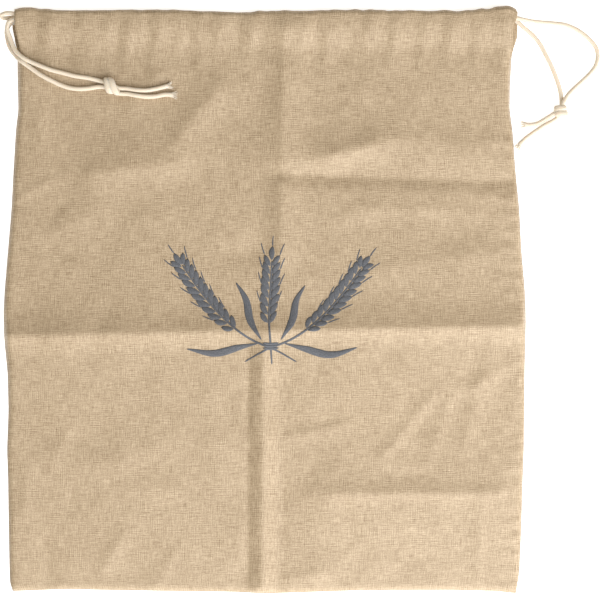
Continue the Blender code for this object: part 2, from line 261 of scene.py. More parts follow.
@dataclass(frozen=True)
class BagShape:
    """Outline, heights and folds of the bag, in millimetres."""

    cloth: float = 0.7
    hem_inset: float = 12.0
    seam_roll: float = 3.0
    seam_height: float = 1.05
    mouth_start: float = 165.0
    stitch_y: float = 172.0
    fold_y: float = 198.3
    back_height: float = 0.5
    front_run: float = 8.7
    back_run: float = 2.8
    fold_radius: float = 2.3
    rim_reach: float = 1.4
    cut_width: float = 354.0
    gather_lean: float = 0.06
    gather_middle: float = 186.0
    scallops: tuple[float, float] = (0.10, 0.16)
    seam_ripple: tuple[float, float] = (0.17, 0.34)
    seam_reach: tuple[float, float] = (9.0, 12.0)
    calm_start: float = 176.0
    calm_length: float = 12.0
    left_edge: Profile = Profile((
        (-202, -173.5), (-197, -175.5), (-187, -175.8), (-159, -176.3), (-125, -176.8), (-104, -177.5),
        (-76, -176.5), (-49, -177.1), (-21, -179.6), (-7, -179.9), (7, -179.2), (34, -176.8), (62, -174.4),
        (89, -173.0), (117, -171.3), (131, -169.6), (145, -170.0), (165, -170.3), (172, -168.9),
        (179, -170.4), (187, -172.4), (193, -172.7), (198, -172.6), (203, -172.5),
    ), blur=2.5)
    right_edge: Profile = Profile((
        (-202, 173.0), (-197, 174.0), (-187, 175.5), (-159, 176.7), (-125, 177.7), (-104, 178.5),
        (-76, 178.9), (-49, 179.1), (-21, 179.9), (-7, 179.7), (7, 179.0), (34, 176.8), (62, 175.4),
        (89, 172.7), (117, 170.6), (131, 168.7), (145, 168.8), (165, 169.9), (172, 170.6), (179, 171.3),
        (187, 171.5), (193, 173.4), (198, 175.0), (203, 172.0),
    ), blur=2.5)
    back_left_mouth: Profile = Profile((
        (150, 0.0), (165, 0.0), (172, -1.6), (176, -2.2), (181, -1.7), (187, -1.8), (193, -1.0), (198, -0.2),
    ), blur=1.5)
    back_right_mouth: Profile = Profile((
        (150, 0.0), (165, 0.0), (172, 0.6), (176, 1.6), (181, 2.9), (187, 2.9), (193, 0.4), (198, -0.4),
    ), blur=1.5)
    bottom_rim: Profile = Profile((
        (-173, -200.9), (-136, -199.6), (-100, -200.4), (-20, -201.5), (0, -202.6), (24, -201.8),
        (66, -200.4), (128, -200.2), (160, -200.9), (172, -202.4),
    ))
    top_rim: Profile = Profile((
        (-173, 200.3), (-169, 201.4), (-163.5, 201.8), (-159.5, 201.6), (-157, 200.4), (-151, 200.8),
        (-146, 200), (-138, 199.6), (-108, 199.8), (-92, 200.2), (-86, 199.8), (-75, 200.3),
        (-69.5, 199.8), (-64, 200.2),
        (-53, 199.5), (-42, 199), (-31, 198.9), (-25, 198.4), (-14, 198.2), (-9, 198.5), (-3.5, 199.5),
        (2, 199), (13, 199.6), (19, 199.6), (24.5, 199), (30, 199.6), (35.5, 199.4), (46.5, 200.2),
        (52, 199.8), (63, 200.3), (68.5, 199.8), (74, 200.3), (85, 199.4), (96, 199.6), (107, 199.6),
        (112.5, 198.8), (118, 199.6), (124, 199.8), (135, 199), (140, 199.8), (146, 200.2), (150, 201),
        (155, 200.5), (157.5, 201.5), (161, 202.6), (167, 202.7), (170, 202.4), (172.5, 201.3),
        (174.5, 199.3),
    ), blur=1.2)
    front_level: Profile = Profile((
        (-203, 2.9), (-150, 3.0), (-60, 3.2), (0, 3.4), (60, 3.8), (110, 4.6), (140, 5.4), (155, 6.0),
        (165, 6.2), (172, 6.5), (178, 7.9), (184, 9.6), (190, 10.7), (196.2, 11.0), (203, 11.0),
    ), blur=3.0)
    hem_level: Profile = Profile((
        (170.5, 3.1), (172.5, 3.1), (176, 3.5), (182, 5.1), (189, 6.35), (196.2, 6.4),
    ), blur=1.5)
    folds: tuple[Fold, ...] = (
        Fold(-184, -25.2, 184, -18.3, 3.2, 74, 70, 2.0),
        Fold(-184, -25.2, 184, -18.3, 3.0, 20, 14, 1.6, 0.5),
        Fold(-0.9, -26, -2.0, -208, 3.9, 10.5, 9.8, 1.05, 0.5),
        Fold(-11, -30, -11, -208, -0.5, 5, 5, 1.6, 0.5),
        Fold(13.2, -112, 13.4, -192, -0.5, 4, 9, 1.5, 0.4, 24),
        Fold(14, -192.5, 46, -189, 0.5, 5, 9, 1.5, 0.5, 14),
        Fold(13.5, 194, 11.0, 26, 3.3, 24, 16, 1.5, 1.0),
        Fold(4, 86.5, 176, 80.5, -2.0, 18, 9, 1.6),
        Fold(30, 95, 92, 111.5, 3.1, 22, 15, 1.6, 2.4, 36),
        Fold(34, 97, 80, 108, 0.8, 14, 9, 1.5, 1.4, 30),
        Fold(92, 112, 152, 104, 0.9, 16, 18, 1.8, 1.5),
        Fold(60, 64, 150, 60, 0.9, 13, 13, 1.8, 1.5),
        Fold(44, 56, 80, 60.5, 0.6, 10, 10, 1.8, 1.0, 12),
        Fold(152, 109, 186, 109.5, 0.8, 6, 9, 1.5, 0.6, 12),
        Fold(70, 20, 168, 34, 0.9, 16, 16, 1.8, 2.0),
        Fold(-126, 86, -50, 98, 2.4, 27, 20, 1.7, 2.5),
        Fold(-66, 104, -28, 150, 2.0, 17, 18, 1.7, 2.0),
        Fold(-92, 132, -70, 160, 1.0, 14, 12, 1.8, 2.0),
        Fold(-160, 40, -110, 66, 0.9, 18, 18, 1.8, 2.0),
        Fold(168, -46, 140, -62, 0.8, 8, 9, 1.5),
        Fold(118, -64, 80, -110, 0.8, 6, 8, 1.5, 0.8),
        Fold(130, -64, 112, -114, 0.6, 6, 8, 1.5, 0.8),
        Fold(150, -56, 138, -100, 0.7, 9, 9, 1.6, 1.2),
        Fold(14, -95, 58, -86, 0.9, 6, 10, 1.6),
        Fold(34, -134.5, 176, -133.5, 3.3, 48, 66, 1.45, 0.8, 34),
        Fold(40, -134.5, 166, -133.5, 0.9, 9, 8, 1.5, 0.5),
        Fold(24, -140, 52, -114, 0.5, 18, 6, 1.7, 1.0),
        Fold(150, -134, 146, -200, 0.7, 7, 9, 1.6),
        Fold(-133, -86, -147, -114, 0.9, 9, 18, 1.7, 1.4),
        Fold(-164, -110, -166, -146, 1.2, 17, 9, 1.6, 1.0, 18),
        Fold(-150, -160, -148, -200, -1.1, 17, 22, 1.7, 1.5),
        Fold(-96, -160, -114, -190, 0.8, 9, 10, 1.7, 1.2),
        Fold(-60, -172, -78, -200, 0.8, 10, 10, 1.7, 1.5),
        Fold(-40, -60, -30, -130, 0.6, 14, 14, 2.0, 2.0),
    )
    crumples: tuple[Crumple, ...] = (
        Crumple(200, (14, 44), (6, 13), 0.42, 11, 0.7),
        Crumple(480, (7, 24), (2.6, 5.2), 0.15, 23, 0.35),
    )
    gather_humps: Profile = Profile((
        (-173, 0.5), (-167.5, 0.5), (-162.7, 0.5), (-157.8, 0), (-148.2, 1.3), (-132.3, 0), (-124.7, 1),
        (-113, 0.3), (-107.5, 0.6), (-100.6, 0), (-93.7, 1.4), (-88.8, 0.9), (-86.1, 1.1), (-81.2, 0.4),
        (-75, 1.4), (-64, 0.4), (-59.2, 0.6), (-51.6, 0), (-44, 1), (-37.1, 0.4), (-31.6, 1.1),
        (-18.5, 0.1), (-8.8, 1.2), (11.2, 0), (25.7, 1.4), (36.7, 0.3), (43.6, 1.2), (56.8, 0.3),
        (63.7, 0.7), (66.4, 0.5), (71.2, 1.2), (84.4, 0.2), (90.6, 1), (104.4, -0.1), (110.6, 1),
        (115.4, 0.5), (118.2, 0.7), (120.9, 0.3), (128.5, 1.3),
        (140.9, 0.3), (147.1, 0.9), (156.1, 0.1), (165.8, 1.5), (171.3, 0.7), (176.1, 0.5),
    ), blur=1.3)
    gather_strength: Profile = Profile((
        (134, 0.0), (146, 0.3), (156, 0.6), (165, 0.95), (171, 1.2), (180, 1.55), (191, 1.55), (199, 1.2),
    ), blur=2.0)

    def edges(self, y: Points, back: bool) -> tuple[Points, Points]:
        """Left and right edge of a cloth.

        Args:
            y: Places along the bag.
            back: True for the back cloth, which shows past the front one at the mouth.

        Returns:
            The two edges' places across the bag.
        """
        left, right = self.left_edge.read(y), self.right_edge.read(y)
        if back:
            left = left + self.back_left_mouth.read(y)
            right = right + self.back_right_mouth.read(y)
        return left, right

    def gathers(self, x: Points, y: Points) -> Points:
        """Height of the uneven gathers along the heading, which lean a little to the left downwards."""
        lean = self.gather_lean * (self.gather_middle - y) * (1.0 + 0.5 * np.sin(x / 37.0))
        uneven = 0.82 + 0.30 * np.sin(0.13 * x + 0.085 * y) + 0.12 * np.sin(0.31 * x - 0.15 * y + 1.0)
        return self.gather_humps.read(x + lean) * self.gather_strength.read(y) * uneven

    def rim_ripples(self, x: Points) -> Points:
        """Small scallops along the top rim, livelier on its right half."""
        least, more = self.scallops
        lively = least + more * smooth((x + 30.0) / 40.0)
        return lively * (np.abs(np.sin(0.29 * x + 0.8 * np.sin(x / 13.0))) * 2.0 - 1.2)

    def seam_ripples(self, x: Points, y: Points) -> Points:
        """Small ripples where the side seams draw the cloth together."""
        left, right = self.edges(y, back=False)
        wander = 2.1 * np.sin(y / 23.0) + 1.4 * np.sin(y / 9.7 + 1.0)
        on_left = np.exp(-(((x - left) / self.seam_reach[0]) ** 2)) * np.sin((y + wander) / 1.55)
        on_right = np.exp(-(((right - x) / self.seam_reach[1]) ** 2)) * np.sin((y - wander) / 1.75 + 0.6)
        swell = 0.6 + 0.4 * np.sin(y / 31.0 + 0.4)
        return (self.seam_ripple[0] * on_left + self.seam_ripple[1] * on_right) * swell

    def rise(self, x: Points, y: Points) -> Points:
        """How far the front cloth has risen from the seams.

        Args:
            x: Places across the bag.
            y: Places along the bag.

        Returns:
            0 on the side and bottom seams and 1 inside them.
        """
        left, right = self.edges(y, back=False)
        from_side = np.clip(np.minimum(x - left, right - x) / self.seam_roll, 0.0, 1.0)
        from_bottom = np.clip((y - self.bottom_rim.read(x)) / self.seam_roll, 0.0, 1.0)
        opened = smooth((y - self.mouth_start) / (self.stitch_y - self.mouth_start))
        side = np.maximum(self.roll(from_side), opened)
        return np.minimum(side, self.roll(from_bottom))

    @staticmethod
    def roll(share: Points) -> Points:
        """Rounded profile of a seam, upright at the very edge and level inside."""
        return 0.7 * np.sqrt(1.0 - (1.0 - share) ** 2) + 0.3 * smooth(share)

    def front(self, x: Points, y: Points) -> Points:
        """Height of the middle of the front cloth, with its folds, gathers and wrinkles.

        Args:
            x: Places across the bag.
            y: Places along the bag.

        Returns:
            The heights over the table.
        """
        x, y = np.broadcast_arrays(np.asarray(x, dtype=float), np.asarray(y, dtype=float))
        raised = self.front_level.read(y) + self.gathers(x, y)
        for fold in self.folds:
            raised = raised + fold.lift(x, y)
        raised = raised + self.seam_ripples(x, y)
        calm = 1.0 - smooth((y - self.calm_start) / self.calm_length)
        for crumple in self.crumples:
            raised = raised + crumple.lift(x, y) * calm
        return np.maximum(self.seam_height + (raised - self.seam_height) * self.rise(x, y), self.seam_height)

    def front_top(self, x: Points, y: Points) -> Points:
        """Height of the upper face of the front cloth."""
        return self.front(x, y) + self.cloth / 2


# Finishes.


class Nodes:
    """Adds nodes to one tree and joins them."""

    def __init__(self, tree: bpy.types.NodeTree) -> None:
        """Keep the tree that the nodes go into."""
        self.tree = tree

    def add(self, kind: str, inputs: dict | None = None, **settings: object) -> bpy.types.Node:
        """Add one node.

        Args:
            kind: The node's type.
            inputs: Values or output sockets for its inputs, by name or number.
            settings: Its own options.

        Returns:
            The new node.
        """
        node = self.tree.nodes.new(kind)
        for name, value in settings.items():
            setattr(node, name, value)
        self.fill(node, inputs or {})
        return node

    def fill(self, node: bpy.types.Node, inputs: dict) -> None:
        """Set a node's inputs.

        Args:
            node: The node.
            inputs: Values or output sockets for its inputs, by name or number.
        """
        for key, value in inputs.items():
            if isinstance(value, bpy.types.NodeSocket):
                self.tree.links.new(value, node.inputs[key])
            else:
                node.inputs[key].default_value = value

    def math(self, operation: str, *values: object) -> bpy.types.NodeSocket:
        """Add a Math node and return its value."""
        return self.add("ShaderNodeMath", dict(enumerate(values)), operation=operation).outputs[0]

    def vector(self, operation: str, *values: object) -> bpy.types.NodeSocket:
        """Add a Vector Math node and return its vector."""
        return self.add("ShaderNodeVectorMath", dict(enumerate(values)), operation=operation).outputs[0]

    def share(self, value: bpy.types.NodeSocket, ends: tuple[float, float]) -> bpy.types.NodeSocket:
        """How far a value is from one number to another, from 0 to 1."""
        inputs = {0: value, 1: ends[0], 2: ends[1], 3: 0.0, 4: 1.0}
        return self.add("ShaderNodeMapRange", inputs).outputs[0]

    def stretched_noise(
        self, place: bpy.types.NodeSocket, scale: object, detail: float
    ) -> bpy.types.NodeSocket:
        """Noise on a place multiplied by a scale, centred on 0.

        Args:
            place: Coordinates in metres.
            scale: Steps per metre along each direction, as a vector or a socket.
            detail: Octaves of the noise.

        Returns:
            The noise, from about -0.5 to 0.5.
        """
        spread = self.vector("MULTIPLY", place, scale)
        noise = self.add(
            "ShaderNodeTexNoise", {"Vector": spread, "Scale": 1.0, "Detail": detail, "Roughness": 0.55},
            noise_dimensions="2D",
        )
        return self.math("SUBTRACT", noise.outputs[0], 0.5)


def new_group(name: str, inputs: dict[str, float | None], outputs: tuple[str, ...]) -> tuple:
    """Start a shader node group.

    Args:
        name: The group's name.
        inputs: Its inputs with their usual values, where None is a vector.
        outputs: Its outputs, which are all single values.

    Returns:
        The group, its node helper, its input node and its output node.
    """
    group = bpy.data.node_groups.new(name, "ShaderNodeTree")
    for title, value in inputs.items():
        kind = "NodeSocketVector" if value is None else "NodeSocketFloat"
        socket = group.interface.new_socket(title, in_out="INPUT", socket_type=kind)
        if value is not None:
            socket.default_value = value
    for title in outputs:
        group.interface.new_socket(title, in_out="OUTPUT", socket_type="NodeSocketFloat")
    nodes = Nodes(group)
    return group, nodes, nodes.add("NodeGroupInput"), nodes.add("NodeGroupOutput")


class Effects:
    """The node groups that several finishes share. Scales of noise are steps per metre."""

    BOLD_WARP = (90.0, 75.0, 0.0)
    BOLD_WEFT = (75.0, 90.0, 0.3)
    BOLD_ENDS = (-0.1, 0.16)
    CLOUDS = (38.0, 38.0, 0.0)
    GRAIN = (1050.0, 1050.0, 0.0)
    DRIFT_SCALE = 75.0
    DRIFT = (0.0022, 0.0022, 0.0)
    COTTON_FUZZ = (700.0, 1800.0, 0.0)

    def __init__(self) -> None:
        """Build each group once."""
        self.threads = self.build_threads()
        self.strands = self.build_strands()

    def build_threads(self) -> bpy.types.NodeTree:
        """Uneven linen threads both ways, with slubs, soft clouds and the raised weave."""
        group, nodes, given, out = new_group(
            "linen_threads",
            {"Cloth place": None, "Thread pitch": 0.0008, "Slub length": 0.016, "Slub contrast": 0.6,
             "Rib contrast": 0.16, "Cloud contrast": 0.15},
            ("Tone", "Relief"),
        )
        place = given.outputs["Cloth place"]
        per_pitch = nodes.math("DIVIDE", 1.0, given.outputs["Thread pitch"])
        per_length = nodes.math("DIVIDE", 1.0, given.outputs["Slub length"])
        lengthwise = nodes.add("ShaderNodeCombineXYZ", {0: per_pitch, 1: per_length}).outputs[0]
        crosswise = nodes.add("ShaderNodeCombineXYZ", {0: per_length, 1: per_pitch}).outputs[0]
        warp = nodes.stretched_noise(place, lengthwise, 1.0)
        weft = nodes.stretched_noise(place, crosswise, 1.0)
        bold_warp = nodes.stretched_noise(place, self.BOLD_WARP, 1.0)
        bold_weft = nodes.stretched_noise(place, self.BOLD_WEFT, 1.0)
        cloud = nodes.stretched_noise(place, self.CLOUDS, 3.0)
        grain = nodes.stretched_noise(place, self.GRAIN, 1.0)
        slubs = nodes.math("MULTIPLY_ADD", grain, 0.9, nodes.math("ADD", warp, weft))
        drift = nodes.add("ShaderNodeTexNoise", {"Vector": place, "Scale": self.DRIFT_SCALE, "Detail": 2.0})
        woven = nodes.vector("ADD", place, nodes.vector("MULTIPLY", drift.outputs[1], self.DRIFT))
        axes = nodes.add("ShaderNodeSeparateXYZ", {0: woven})
        turns = nodes.math("MULTIPLY", per_pitch, math.pi)
        across = nodes.math("SINE", nodes.math("MULTIPLY", axes.outputs[0], turns))
        along = nodes.math("SINE", nodes.math("MULTIPLY", axes.outputs[1], turns))
        ribs = nodes.math("MULTIPLY", across, nodes.share(bold_warp, self.BOLD_ENDS))
        ribs = nodes.math("MULTIPLY_ADD", along, nodes.share(bold_weft, self.BOLD_ENDS), ribs)
        relief = nodes.math("MULTIPLY_ADD", ribs, given.outputs["Rib contrast"], slubs)
        tone = nodes.math("MULTIPLY_ADD", relief, given.outputs["Slub contrast"], 0.5)
        tone = nodes.math("MULTIPLY_ADD", cloud, given.outputs["Cloud contrast"], tone)
        nodes.fill(out, {"Tone": tone, "Relief": relief})
        return group

    def build_strands(self) -> bpy.types.NodeTree:
        """Fine plaited strands that cross round a cord, with fuzz."""
        group, nodes, given, out = new_group(
            "plaited_strands",
            {"Cord place": None, "Strand pitch": 0.0016, "Fuzz": 0.35},
            ("Tone", "Relief"),
        )
        place = given.outputs["Cord place"]
        axes = nodes.add("ShaderNodeSeparateXYZ", {0: place})
        turns = nodes.math("DIVIDE", 2 * math.pi, given.outputs["Strand pitch"])
        slant = nodes.math("MULTIPLY", axes.outputs[1], 0.9)
        one_way = nodes.math("SINE", nodes.math("MULTIPLY", nodes.math("ADD", axes.outputs[0], slant), turns))
        back_way = nodes.math("SUBTRACT", axes.outputs[0], slant)
        other_way = nodes.math("SINE", nodes.math("MULTIPLY", back_way, turns))
        plait = nodes.math("MAXIMUM", one_way, other_way)
        fuzz = nodes.stretched_noise(place, self.COTTON_FUZZ, 2.0)
        fuzz = nodes.math("MULTIPLY", fuzz, given.outputs["Fuzz"])
        relief = nodes.math("MULTIPLY_ADD", plait, 0.12, fuzz)
        nodes.fill(out, {"Tone": nodes.math("ADD", relief, 0.5), "Relief": relief})
        return group


@dataclass(frozen=True)
class Finish:
    """A cloth or thread finish between a shaded and a lit colour."""

    name: str
    shaded: Colour
    lit: Colour
    roughness: float
    bump: float
    bump_depth: float
    sheen: float = 0.0
    gloss: float = 0.12
    softness: float = 0.0
    soft_colour: Colour = (1.0, 0.85, 0.7)
    soft_reach: float = 0.0015
    values: tuple[tuple[str, float], ...] = ()

    def build(self, group: bpy.types.NodeTree, place_name: str) -> bpy.types.Material:
        """Make the material.

        Args:
            group: The effect that gives the tone and the relief.
            place_name: The group's input for the surface's own coordinates.

        Returns:
            The material.
        """
        material = bpy.data.materials.new(self.name)
        material.use_nodes = True
        nodes = Nodes(material.node_tree)
        shader = material.node_tree.nodes["Principled BSDF"]
        surface = nodes.add("ShaderNodeUVMap", uv_map=UV_LAYER).outputs[0]
        effect = nodes.add("ShaderNodeGroup", node_tree=group)
        nodes.fill(effect, {place_name: surface, **dict(self.values)})
        colour = nodes.add(
            "ShaderNodeMix", {0: effect.outputs["Tone"], 6: (*self.shaded, 1.0), 7: (*self.lit, 1.0)},
            data_type="RGBA", clamp_factor=True,
        )
        bump = nodes.add(
            "ShaderNodeBump",
            {"Strength": self.bump, "Distance": self.bump_depth, "Height": effect.outputs["Relief"]},
        )
        nodes.fill(shader, {
            "Base Color": colour.outputs[2], "Normal": bump.outputs[0], "Roughness": self.roughness,
            "Specular IOR Level": self.gloss, "Sheen Weight": self.sheen,
            "Subsurface Weight": self.softness, "Subsurface Radius": self.soft_colour,
            "Subsurface Scale": self.soft_reach,
        })
        return material


FRONT_LINEN = Finish(
    "front_linen", shaded=(0.190, 0.119, 0.054), lit=(0.600, 0.467, 0.313), roughness=0.58,
    bump=0.45, bump_depth=0.0003, sheen=0.04, gloss=0.5,
    values=(("Thread pitch", 0.00072), ("Slub length", 0.0085), ("Slub contrast", 0.56),
            ("Rib contrast", 0.17), ("Cloud contrast", 0.12)),
)
BACK_LINEN = Finish(
    "back_linen", shaded=(0.184, 0.115, 0.052), lit=(0.585, 0.455, 0.305), roughness=0.60,
    bump=0.45, bump_depth=0.0003, sheen=0.04, gloss=0.5,
    values=(("Thread pitch", 0.00072), ("Slub length", 0.0095), ("Slub contrast", 0.56),
            ("Rib contrast", 0.17), ("Cloud contrast", 0.12)),
)
LINEN_THREAD = Finish(
    "linen_thread", shaded=(0.30, 0.22, 0.13), lit=(0.50, 0.385, 0.26), roughness=0.80,
    bump=0.4, bump_depth=0.0002, sheen=0.05, gloss=0.2,
    values=(("Strand pitch", 0.0006), ("Fuzz", 0.3)),
)
COTTON_CORD = Finish(
    "cotton_cord", shaded=(0.585, 0.495, 0.38), lit=(0.775, 0.68, 0.555), roughness=0.85,
    bump=0.5, bump_depth=0.00022, sheen=0.08, gloss=0.1, softness=0.5,
    values=(("Strand pitch", 0.0016), ("Fuzz", 0.45)),
)
FRAYED_COTTON = Finish(
    "frayed_cotton", shaded=(0.60, 0.51, 0.39), lit=(0.83, 0.74, 0.61), roughness=0.85,
    bump=0.3, bump_depth=0.0001, sheen=0.12, gloss=0.1, softness=0.3,
    values=(("Strand pitch", 0.0009), ("Fuzz", 0.5)),
)
SLATE_THREAD = Finish(
    "slate_thread", shaded=(0.048, 0.050, 0.056), lit=(0.160, 0.164, 0.176), roughness=0.62,
    bump=0.7, bump_depth=0.0003, sheen=0.1,
    values=(("Strand pitch", 0.00075), ("Fuzz", 1.1)),
)


# Swept bodies: cords, knots, fibres and stitches.


@dataclass
class Sweep:
    """A closed body with round ends along a path, made from a stretched sphere."""

    path: Points
    half_width: Points
    half_height: Points
    sides: int = 14
    lean: Place | None = None

    @classmethod
    def tube(cls, path: Points, radius: float, sides: int = 14, taper: float = 1.0) -> "Sweep":
        """A round tube, its ends rounded over one radius.

        Args:
            path: Points along its middle, at least three.
            radius: Its radius.
            sides: Sides of its section.
            taper: Share of the radius that is left at the far end.

        Returns:
            The swept body, not yet in a mesh.
        """
        along = distances(path)
        caps = radius * np.array(CAP_RINGS)
        inner = along[(along > radius) & (along < along[-1] - radius)]
        places = np.concatenate((caps, inner, along[-1] - caps[::-1]))
        fine = np.stack([np.interp(places, along, path[:, axis]) for axis in range(3)], axis=1)
        ends = np.minimum(places, along[-1] - places) / radius
        width = radius * np.sqrt(1.0 - (1.0 - np.clip(ends, 0.0, 1.0)) ** 2)
        width = width * (1.0 + (taper - 1.0) * places / along[-1])
        return cls(fine, width, width.copy(), sides)

    def frames(self) -> tuple[Points, Points]:
        """Side and up directions of the section at each point of the path.

        Returns:
            Two arrays of unit vectors, where up follows the lean, or turns as little as it can.
        """
        tangents = np.gradient(self.path, axis=0)
        tangents /= np.maximum(np.linalg.norm(tangents, axis=1, keepdims=True), 1e-9)
        up = np.array((0.0, 0.0, 1.0))
        if abs(tangents[0] @ up) > 0.9:
            up = np.array((0.0, 1.0, 0.0))
        sides, ups = [], []
        for tangent in tangents:
            if self.lean is not None:
                up = np.array(self.lean)
            up = up - tangent * (up @ tangent)
            up = up / max(np.linalg.norm(up), 1e-9)
            sides.append(np.cross(tangent, up))
            ups.append(up)
        return np.array(sides), np.array(ups)

    def into(self, bm: bmesh.types.BMesh) -> list[bmesh.types.BMVert]:
        """Add the body to a mesh, in metres, with its own UV along and round it.

        Args:
            bm: The mesh, which has a UV layer.

        Returns:
            The new vertices.
        """
        last = len(self.path) - 1
        made = bmesh.ops.create_uvsphere(bm, u_segments=self.sides, v_segments=last, radius=1.0)["verts"]
        sides, ups = self.frames()
        along = distances(self.path) * MM
        girth = math.pi * (self.half_width.max() + self.half_height.max()) * MM
        rings, turns = {}, {}
        for vert in made:
            ring = round(math.acos(max(-1.0, min(1.0, vert.co.z))) / math.pi * last)
            turn = math.atan2(vert.co.y, vert.co.x)
            side, up = math.cos(turn) * self.half_width[ring], math.sin(turn) * self.half_height[ring]
            vert.co = Vector((self.path[ring] + sides[ring] * side + ups[ring] * up) * MM)
            rings[vert] = ring
            turns[vert] = None if ring in (0, last) else (turn / (2 * math.pi)) % 1.0
        uv = bm.loops.layers.uv[UV_LAYER]
        for face in {face for vert in made for face in vert.link_faces}:
            known = [turns[vert] for vert in face.verts if turns[vert] is not None]
            wraps = max(known) - min(known) > 0.5
            around = [share + 1.0 if wraps and share < 0.5 else share for share in known]
            middle = sum(around) / len(around)
            for loop in face.loops:
                share = turns[loop.vert]
                share = middle if share is None else share + (1.0 if wraps and share < 0.5 else 0.0)
                loop[uv].uv = (along[rings[loop.vert]], share * girth)
        return made


def new_bmesh() -> bmesh.types.BMesh:
    """An empty mesh with a UV layer."""
    bm = bmesh.new()
    bm.loops.layers.uv.new(UV_LAYER)
    return bm


def smooth_path(points: Route, step: float) -> Points:
    """Points at even steps of a smooth curve through a cord's own points.

    Args:
        points: Places that the cord passes.
        step: Distance between the returned points.

    Returns:
        The curve's points.
    """
    route = np.array(points, dtype=float)
    lengths = np.linalg.norm(np.diff(route, axis=0), axis=1)
    steps = np.diff(route, axis=0) / lengths[:, None]
    tangents = [steps[0]]
    for index in range(1, len(route) - 1):
        mixed = steps[index] * lengths[index - 1] + steps[index - 1] * lengths[index]
        tangents.append(mixed / np.linalg.norm(mixed))
    tangents.append(steps[-1])
    curve = [route[0]]
    for index, length in enumerate(lengths):
        count = max(1, round(length / step))
        for piece in range(1, count + 1):
            t = piece / count
            curve.append(
                route[index] * (2 * t**3 - 3 * t**2 + 1)
                + tangents[index] * length * (t**3 - 2 * t**2 + t)
                + route[index + 1] * (3 * t**2 - 2 * t**3)
                + tangents[index + 1] * length * (t**3 - t**2)
            )
    return np.array(curve)


# The two cloths.


